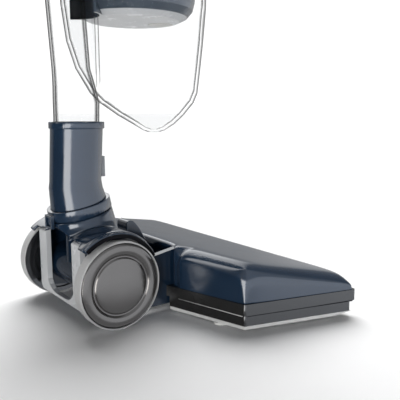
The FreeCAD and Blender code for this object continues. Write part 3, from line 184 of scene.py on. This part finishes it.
NAVY = (0.0105, 0.0235, 0.046)
CLEAR = (0.995, 0.997, 0.998)
# painted dark edge colour of the clear parts where they are seen edge on
PAINTED_CLEAR_EDGE = (0.012, 0.0125, 0.013)
MATERIALS = {
    "navy_gloss": plastic("navy_gloss", NAVY, 0.16),
    "navy_cover": plastic("navy_cover", NAVY, 0.14),
    "hood": plastic("hood", NAVY, 0.11),
    # the separator's underside gets a painted reflection of the lit floor
    "basket": painted_floor_reflection_below("basket", (0.05, 0.065, 0.085), (0.92, 0.925, 0.93), 0.25),
    "bumper": plastic("bumper", (0.016, 0.016, 0.016), 0.2, grain=1500),
    "skirt": plastic("skirt", (0.014, 0.014, 0.014), 0.22, grain=1500),
    # pale grey: painted reflection of the white floor on the sole's downward-facing chamfer
    "sole": plastic("sole", (0.55, 0.55, 0.54), 0.35),
    "blade": plastic("blade", (0.02, 0.02, 0.021), 0.5),
    "pads": plastic("pads", (0.6, 0.6, 0.58), 0.6, grain_depth=0.0001),
    "black_plastic": plastic("black_plastic", (0.012, 0.0125, 0.014), 0.4, grain_depth=0.00006),
    "bristle": plastic("bristle", (0.16, 0.2, 0.26), 0.8, 0.35, grain=1400, grain_depth=0.0006,
                       bump_strength=0.8),
    "steel": plastic("steel", (0.56, 0.56, 0.57), 0.3, metallic=1.0, stretch=(1, 30, 1)),
    "motor_can": plastic("motor_can", (0.45, 0.45, 0.46), 0.38, metallic=1.0, stretch=(1, 12, 1)),
    "motor_case": plastic("motor_case", (0.02, 0.02, 0.022), 0.5),
    "rotor_metal": plastic("rotor_metal", (0.42, 0.3, 0.2), 0.4, metallic=1.0, stretch=(1, 20, 1)),
    "fan_rotor": plastic("fan_rotor", (0.6, 0.6, 0.62), 0.35, metallic=1.0),
    "belt": plastic("belt", (0.015, 0.015, 0.015), 0.6, grain_depth=0.0001),
    # pale grey: painted reflection of the white backdrop on the rear-facing posts, over a darker plastic
    "rear_trim": plastic("rear_trim", (0.52, 0.53, 0.54), 0.28),
    # pale grey: painted reflection of the white backdrop on the rear-facing tread, over a darker rubber
    "tyre": plastic("tyre", (0.42, 0.42, 0.42), 0.42, grain=1800, grain_depth=0.00005),
    "hub": plastic("hub", (0.012, 0.0125, 0.014), 0.22),
    "wheel_cap": plastic("wheel_cap", (0.08, 0.075, 0.07), 0.15, spread=0.05, metallic=0.7,
                         bump_strength=0.04),
    # near black, darker than the navy: the part's own dark colour, deepened as painted shade of the deep cavity
    # it sits in
    "fork": plastic("fork", (0.005, 0.013, 0.027), 0.15, specular=0.2),
    "clear_duct": clear_plastic("clear_duct", CLEAR, PAINTED_CLEAR_EDGE, 0.45, 0.82),
    "clear_tank": clear_plastic("clear_tank", CLEAR, PAINTED_CLEAR_EDGE, 0.72, 0.87),
    "filter": plastic("filter", (0.7, 0.69, 0.66), 0.85, grain_depth=0.0003, bump_strength=0.6),
    "float": plastic("float", (0.55, 0.13, 0.02), 0.5),
    "board": plastic("board", (0.01, 0.12, 0.05), 0.4),
    "cells": plastic("cells", (0.03, 0.1, 0.22), 0.35),
    "grip": plastic("grip", (0.014, 0.0145, 0.016), 0.62, grain=700, grain_depth=0.00025,
                    bump_strength=0.5),
    "tube": plastic("tube", (0.62, 0.63, 0.64), 0.3, metallic=1.0, stretch=(1, 1, 0.05)),
    "display": plastic("display", (0.004, 0.005, 0.006), 0.05, coat=1.0),
    "button_gray": plastic("button_gray", (0.3, 0.31, 0.32), 0.4),
}
# painted shade: black, barely reflecting bands for the gap between fender and tyre and for the shadow under the
# bumper's step, blacker than any slot of the record
PAINTED_SHADE = plastic("painted_shade", (0.003, 0.003, 0.004), 0.35, specular=0.04)
for entry in frame["record"]["subparts"]:
    node = NODES[entry["node"]]
    node.data.materials.clear()
    node.data.materials.append(MATERIALS[entry["material_slot"]])


# ------------------------------------------------------------------ helpers for pieces

def metres(x, y, z):
    """A point of the axle frame, given in millimetres, in the machine's frame."""
    return AXLE_X + x / 1000, y / 1000, z / 1000


def lofted(rings):
    """A closed mesh through rings of points with equal counts, capped at both ends."""
    mesh = bmesh.new()
    loops = [[mesh.verts.new(point) for point in ring] for ring in rings]
    count = len(loops[0])
    for near, far in zip(loops, loops[1:]):
        for k in range(count):
            n = (k + 1) % count
            mesh.faces.new((near[k], near[n], far[n], far[k]))
    mesh.faces.new(loops[0])
    mesh.faces.new(loops[-1])
    bmesh.ops.recalc_face_normals(mesh, faces=mesh.faces)
    return mesh


def finished(name, mesh, slot, body, material=None, smooth=True):
    """A piece from a bmesh, riding on a body, with its slot's material unless another is given."""
    data = bpy.data.meshes.new(name)
    mesh.to_mesh(data)
    mesh.free()
    for face in data.polygons:
        face.use_smooth = smooth
    item = bpy.data.objects.new(name, data)
    bpy.context.scene.collection.objects.link(item)
    data.materials.append(material or MATERIALS[slot])
    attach(item, body)
    return item


def subdivide(item, levels):
    modifier = item.modifiers.new("smooth", "SUBSURF")
    modifier.levels = levels
    modifier.render_levels = levels


def bevel(item, width, segments, angle_deg):
    modifier = item.modifiers.new("edge", "BEVEL")
    modifier.width = width
    modifier.segments = segments
    modifier.limit_method = "ANGLE"
    modifier.angle_limit = math.radians(angle_deg)
    modifier.harden_normals = True


# ------------------------------------------------------------------ brush head's cover

DECK_REAR = (50.0, 53.6)
DECK_SLOPE = 19.4 / 98.0


def deck(x):
    """Height of the sloping top of the brush head, in millimetres."""
    return DECK_REAR[1] - (x - DECK_REAR[0]) * DECK_SLOPE


# each station runs from a point (x, y) of the rear edge to a y on the front edge, and drops below the deck
STATIONS = [((57.0, 0.0), 0.0, 0.0), ((57.0, 26.0), 32.0, 0.0), ((57.0, 43.0), 50.0, 0.0),
            ((50.4, 48.2), 57.0, 0.0), ((51.6, 54.5), 64.0, 0.0), ((49.9, 58.0), 68.0, 0.0),
            ((50.8, 63.5), 75.0, 0.0), ((56.5, 84.0), 100.0, 0.0), ((61.5, 102.5), 124.0, 0.0),
            ((63.6, 111.5), 135.5, 1.2), ((65.2, 117.3), 142.7, 6.5)]
# (distance in from the edge, fall below the deck) of the rolls at the rear and front edges
REAR_STEPS = [(0.0, 10.0), (5.5, 2.6), (16.0, 0.0)]
FRONT_STEPS = [(8.0, 0.0), (3.0, 0.9), (0.0, 4.5)]
# the rear roll is tighter on the middle part, up to this y
MIDDLE_HALF, MIDDLE_TIGHTNESS = 50, 0.35
# rings of the wall: (share of the way down to the foot, share of its distance a corner's neighbour keeps)
WALL_RINGS = [(0.45, 0.7), (0.93, 0.3), (1.0, 0.3)]
COVER_FRONT = 153.7
COVER_FOOT = 1000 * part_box("top_cover")[0].z


def station_row(rear, front_y, drop):
    """The cage points of one station, from the rear edge to the front edge."""
    start = Vector((rear[0], rear[1]))
    end = Vector((COVER_FRONT, front_y))
    length = (end - start).length
    along = (end - start) / length
    tight = MIDDLE_TIGHTNESS if rear[1] < MIDDLE_HALF else 1.0
    marks = [(inset * tight, fall * tight) for inset, fall in REAR_STEPS]
    marks += [(length * share, 0.0) for share in (0.3, 0.5, 0.7)]
    marks += [(length - inset, fall) for inset, fall in FRONT_STEPS]
    row = []
    for distance, fall in marks:
        spot = start + along * distance
        row.append((spot.x, spot.y, deck(spot.x) - fall - drop))
    return row


def cover_shell():
    """The navy cover: a sloping deck that rolls over into its rear wall, ends and nose."""
    half = [station_row(*station) for station in STATIONS]
    rows = [[(x, -y, z) for x, y, z in row] for row in reversed(half[1:])] + half
    for row, side in ((rows[0], 1), (rows[-1], -1)):
        x, y, z = row[-1]
        row[-1] = (x, y, z + 3.0)
        x, y, z = row[0]
        row[0] = (x + 0.8, y + side * 0.8, z + 1.0)
    mesh = bmesh.new()
    grid = [[mesh.verts.new(metres(*point)) for point in row] for row in rows]
    for near, far in zip(grid, grid[1:]):
        for k in range(len(near) - 1):
            mesh.faces.new((near[k], near[k + 1], far[k + 1], far[k]))
    last = len(rows[0]) - 1
    loop = [(r, 0) for r in range(len(rows))] + [(len(rows) - 1, k) for k in range(1, last + 1)]
    loop += [(r, last) for r in range(len(rows) - 2, -1, -1)] + [(0, k) for k in range(last - 1, 0, -1)]
    ring = [grid[r][k] for r, k in loop]
    corners = {(r, k) for r in (0, len(rows) - 1) for k in (0, last)}
    for level, gather in WALL_RINGS:
        lower = []
        for n, (r, k) in enumerate(loop):
            x, y, z = rows[r][k]
            for other in (loop[n - 1], loop[(n + 1) % len(loop)]):
                if other in corners:
                    far = rows[other[0]][other[1]]
                    x, y = far[0] + (x - far[0]) * gather, far[1] + (y - far[1]) * gather
            lower.append(mesh.verts.new(metres(x, y, z + (COVER_FOOT - z) * level)))
        for k in range(len(ring)):
            n = (k + 1) % len(ring)
            mesh.faces.new((ring[k], lower[k], lower[n], ring[n]))
        ring = lower
    bmesh.ops.recalc_face_normals(mesh, faces=mesh.faces)
    item = finished("cover", mesh, "navy_cover", "floor_head")
    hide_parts("top_cover")
    subdivide(item, 3)
    wall = item.modifiers.new("wall", "SOLIDIFY")
    wall.thickness = 0.0024
    wall.offset = -1


cover_shell()


# ------------------------------------------------------------------ wheels and fenders

# (radius, height) in millimetres: a rounded ring, a groove and a domed middle, with the height counted from
# CAP_DEPTH metres inside the wheel's outer face
CAP_PROFILE = [(31.3, 8.5), (31.3, 9.5), (30.2, 10.3), (28.6, 10.85), (26.6, 11.0), (24.6, 10.85), (23.2, 10.3),
               (22.5, 9.3), (21.6, 9.1), (20.8, 9.3), (20.3, 10.2), (19.2, 10.4), (15.0, 10.7), (8.0, 10.97),
               (2.0, 11.0)]
CAP_DEPTH = 0.011
CAP_SIDES = 48
WHEEL_Z = 0.5 * (AXLE[0].z + AXLE[1].z)
WHEEL_OUTER = -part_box("wheel_cap_right")[0].y
# (radius, y) in millimetres of the section of the painted shade band round the wheel, and the arc it covers in
# degrees, from the front
SHADE_BAND_SECTION = [(33.9, 51.5), (36.4, 51.5), (36.7, 51.8), (36.4, 52.3), (33.9, 52.3)]
SHADE_BAND_START, SHADE_BAND_SWEEP, SHADE_BAND_STEPS = 27, 104, 40


def around_axle(radius, y, angle):
    """A point at a radius in millimetres and an angle round the axle's line."""
    return (AXLE_X + radius / 1000 * math.cos(angle), y, WHEEL_Z + radius / 1000 * math.sin(angle))


def wheel_cap(name, side, body, node):
    """A dish turned round the axle's line and closed by a flat back."""
    angles = [2 * math.pi * k / CAP_SIDES for k in range(CAP_SIDES)]
    rings = []
    for radius, height in CAP_PROFILE:
        y = side * (WHEEL_OUTER - CAP_DEPTH + height / 1000)
        rings.append([around_axle(radius, y, angle) for angle in angles])
    item = finished(name, lofted(rings), "wheel_cap", body)
    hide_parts(node)
    subdivide(item, 2)


def fender_shade_band(name, side):
    """Painted shade: a black band along the end face of the fender, round the top of the wheel, where the gap
    to the tyre is in shade.
    """
    angles = [math.radians(SHADE_BAND_START + SHADE_BAND_SWEEP * k / SHADE_BAND_STEPS) for k in range(SHADE_BAND_STEPS + 1)]
    rings = [[around_axle(radius, side * y / 1000, angle) for radius, y in SHADE_BAND_SECTION] for angle in angles]
    finished(name, lofted(rings), "fork", "yoke", PAINTED_SHADE, smooth=False)


for side_name, side_sign in (("left", 1), ("right", -1)):
    wheel_cap("cap_" + side_name, side_sign, "wheel_" + side_name, "wheel_cap_" + side_name)
    fender_shade_band("fender_shade_band_" + side_name, side_sign)


# ------------------------------------------------------------------ small parts

# outline in x and z of the block between the arms, and half its width, in millimetres
GUARD = [(40, 38.5), (38.3, 46), (35.2, 52), (33.6, 60), (33.4, 65.5), (34.8, 67.6), (37.2, 68.0), (39.9, 67.2),
         (42.4, 65.2), (44.6, 62.6), (46.6, 59.8), (48.6, 56.2), (50.6, 52.4), (53.4, 48.0), (56.0, 45.0),
         (56.0, 38.5)]
GUARD_HALF = 8
# how far the painted lines between the bands reach into the head, in millimetres
PAINTED_LINE_DEPTH = 2.2
# x of the drain hole's middle, and (radius, height over the separator's bottom) of the flap, in millimetres
DRAIN_X = 74
FLAP_PROFILE = [(10.2, 0.05), (10.2, -0.15), (9.7, -0.35), (5.0, -0.45), (0.6, -0.5)]
FLAP_SIDES = 40


def hinge_guard():
    """Dark block behind the head, between the arms."""
    sides = [[metres(x, y, z) for x, z in GUARD] for y in (-GUARD_HALF, GUARD_HALF)]
    item = finished("hinge_guard", lofted(sides), "navy_gloss", "floor_head")
    bevel(item, 0.0009, 3, 35)


def painted_line_strip(name, start, end, z_low, z_high, depth, slot, material=None):
    """Thin painted line between two points (x, y) of the head's outline, standing a little proud: dark for the
    painted shadow under the bumper's step, pale for the painted highlight on the edge between the bands.
    """
    first, last = Vector(start), Vector(end)
    along = (last - first).normalized()
    inward = Vector((-along.y, along.x)) * depth
    rings = []
    for spot in (first, last):
        inner = spot + inward
        rings.append([metres(spot.x, spot.y, z_low), metres(spot.x, spot.y, z_high),
                      metres(inner.x, inner.y, z_high), metres(inner.x, inner.y, z_low)])
    finished(name, lofted(rings), slot, "floor_head", material, smooth=False)


def drain_flap():
    """Pale soft flap that closes the drain hole in the separator's bottom; its pale colour carries on the
    painted reflection of the floor on the underside.
    """
    low = 1000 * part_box("separator_basket")[0].z
    angles = [2 * math.pi * k / FLAP_SIDES for k in range(FLAP_SIDES)]
    rings = [[metres(DRAIN_X + radius * math.cos(angle), radius * math.sin(angle), low + height)
              for angle in angles] for radius, height in FLAP_PROFILE]
    finished("drain_flap", lofted(rings), "filter", "dirty_tank")


hinge_guard()
for side_name, side_sign in (("left", 1), ("right", -1)):
    # painted shadow: a black line under the bumper's step on each end
    painted_line_strip("shadow_line_end_" + side_name, (66.2, side_sign * 118.55), (153.4, side_sign * 143.5), 12.1, 12.8,
               -PAINTED_LINE_DEPTH * side_sign, "skirt", PAINTED_SHADE)
    # painted highlight: a pale line on the edge between the bumper and the lower band at the rear
    painted_line_strip("highlight_line_rear_" + side_name, (50.0, side_sign * 57.0), (64.0, side_sign * 116.0), 12.0, 12.6,
               -PAINTED_LINE_DEPTH * side_sign, "sole")
drain_flap()


# ------------------------------------------------------------------ softened edges of moulded parts

SOFT_EDGES = {"bumper_strip": 0.0008, "lower_band": 0.0008, "swivel_collar": 0.0004, "neck_rim": 0.0004,
              "rear_trim": 0.0005, "carriage_frame": 0.0005}


def soften(node, width):
    """Round the sharp edges of a CAD node a little, as moulded parts have them."""
    item = NODES[node]
    weld = item.modifiers.new("weld", "WELD")
    weld.merge_threshold = 0.00001
    bevel(item, width, 2, 40)


def blend_hood():
    """Run the hood's shapes into each other with small rounds."""
    item = NODES["yoke_hood"]
    remesh = item.modifiers.new("remesh", "REMESH")
    remesh.mode = "VOXEL"
    remesh.voxel_size = 0.0008
    remesh.use_smooth_shade = True
    relax = item.modifiers.new("relax", "SMOOTH")
    relax.factor = 0.5
    relax.iterations = 10


for soft_node, soft_width in SOFT_EDGES.items():
    soften(soft_node, soft_width)
blend_hood()


# ------------------------------------------------------------------ studio

SKY_PEAK = 12.0
COOL = (0.93, 0.98, 1.07)
FILL = 0.06
BACKDROP = 1.2
FLOOR_HALF = 30.0
# (compass angle in degrees, light level) near the horizon, high up and low down
SKY_RING = [(-180, 0.04), (-170, 0.04), (-167, 11.0), (-139, 11.0), (-136, 3.0), (-60, 2.6), (-15, 2.3),
            (20, 1.2), (45, 0.42), (60, 0.32), (110, 0.45), (124, 0.4), (130, 0.04), (180, 0.04)]
HIGH_RING = [(-180, 0.3), (-168, 0.8), (-138, 0.8), (-130, 1.4), (-60, 1.2), (-40, 0.4), (40, 0.4), (50, 2.4),
             (70, 3.4), (105, 2.4), (118, 0.5), (136, 0.4), (141, 5.5), (154, 5.5), (158, 0.3), (180, 0.3)]
LOW_RING = [(-180, 0.1), (-120, 0.9), (-20, 0.9), (60, 0.1), (180, 0.1)]
# heights of the direction between which the light passes from the horizon's ring to another
HIGH_EDGES, LOW_EDGES = (0.24, 0.34), (-0.3, -0.42)


def sun_light(name, towards, spread_deg, power):
    """A broad, even light from one direction, wide enough for soft shadows."""
    lamp = bpy.data.lights.new(name, "SUN")
    lamp.angle = math.radians(spread_deg)
    lamp.energy = power
    item = bpy.data.objects.new(name, lamp)
    item.location = towards
    item.rotation_euler = (-Vector(towards)).to_track_quat("-Z", "Y").to_euler()
    item.visible_glossy = False
    bpy.context.scene.collection.objects.link(item)


def ring_of_light(tree, turn, levels):
    """Light level by compass direction."""
    wall = tree.nodes.new("ShaderNodeValToRGB")
    for k, (angle, level) in enumerate(levels):
        place = (angle + 180) / 360
        stop = wall.color_ramp.elements[k] if k < 2 else wall.color_ramp.elements.new(place)
        stop.position = place
        tint = COOL if -137 < angle < 0 else (1, 1, 1)
        stop.color = tuple(level / SKY_PEAK * channel for channel in tint) + (1,)
    link(tree, turn, wall.inputs["Fac"])
    return wall.outputs["Color"]


def sky(tree):
    """Studio light: a wide pale wall, a narrow strip light, a dark side, and softboxes higher up."""
    coord = tree.nodes.new("ShaderNodeTexCoord")
    parts = tree.nodes.new("ShaderNodeSeparateXYZ")
    link(tree, coord.outputs["Generated"], parts.inputs["Vector"])
    compass = tree.nodes.new("ShaderNodeMath")
    compass.operation = "ARCTAN2"
    link(tree, parts.outputs["Y"], compass.inputs[0])
    link(tree, parts.outputs["X"], compass.inputs[1])
    turn = remap(tree, compass.outputs["Value"], 0.0, 1.0, -math.pi, math.pi)
    level = ring_of_light(tree, turn, SKY_RING)
    for edges, ring in ((HIGH_EDGES, HIGH_RING), (LOW_EDGES, LOW_RING)):
        blend = tree.nodes.new("ShaderNodeMix")
        blend.data_type = "RGBA"
        link(tree, remap(tree, parts.outputs["Z"], 0.0, 1.0, *edges), blend.inputs["Factor"])
        link(tree, level, blend.inputs["A"])
        link(tree, ring_of_light(tree, turn, ring), blend.inputs["B"])
        level = blend.outputs["Result"]
    return level


def background(tree, strength):
    """A plain white world light."""
    node = tree.nodes.new("ShaderNodeBackground")
    node.inputs["Color"].default_value = (1, 1, 1, 1)
    node.inputs["Strength"].default_value = strength
    return node


def world_light():
    """White to the camera, the sky to reflections and a plain fill to everything else."""
    scene = bpy.context.scene
    scene.view_settings.view_transform = "Standard"
    world = bpy.data.worlds.new("studio")
    world.use_nodes = True
    tree = world.node_tree
    tree.nodes.remove(tree.nodes["Background"])
    backdrop = background(tree, BACKDROP)
    light = background(tree, SKY_PEAK)
    link(tree, sky(tree), light.inputs["Color"])
    fill = background(tree, FILL)
    path = tree.nodes.new("ShaderNodeLightPath")
    soft = tree.nodes.new("ShaderNodeMixShader")
    link(tree, path.outputs["Is Glossy Ray"], soft.inputs["Fac"])
    link(tree, fill.outputs["Background"], soft.inputs[1])
    link(tree, light.outputs["Background"], soft.inputs[2])
    mix = tree.nodes.new("ShaderNodeMixShader")
    link(tree, path.outputs["Is Camera Ray"], mix.inputs["Fac"])
    link(tree, soft.outputs["Shader"], mix.inputs[1])
    link(tree, backdrop.outputs["Background"], mix.inputs[2])
    link(tree, mix.outputs["Shader"], tree.nodes["World Output"].inputs["Surface"])
    scene.world = world


def floor_plane():
    """A plain pale floor that reflections don't see."""
    mesh = bpy.data.meshes.new("floor")
    corners = [(x * FLOOR_HALF, y * FLOOR_HALF, 0) for x, y in ((-1, -1), (1, -1), (1, 1), (-1, 1))]
    mesh.from_pydata(corners, [], [(0, 1, 2, 3)])
    floor = bpy.data.objects.new("floor", mesh)
    bpy.context.scene.collection.objects.link(floor)
    mesh.materials.append(plastic("floor_paint", (0.9, 0.9, 0.9), 0.9, spread=0.01, bump_strength=0.02))
    floor.visible_glossy = False


def camera():
    """The view from the right front, a little above the floor."""
    lens = bpy.data.cameras.new("camera")
    lens.sensor_width = 36
    lens.lens = 49.1
    item = bpy.data.objects.new("camera", lens)
    item.location = (AXLE_X - 0.1853, -0.3911, 0.1565)
    look = Vector((0.6016, 0.7825, -0.1604))
    item.rotation_euler = look.to_track_quat("-Z", "Y").to_euler()
    bpy.context.scene.collection.objects.link(item)
    bpy.context.scene.camera = item


world_light()
floor_plane()
sun_light("key", (0.5, 0.65, 1.0), 54, 4.3)
sun_light("front", (-0.7, -0.7, 0.03), 16, 3.0)
camera()
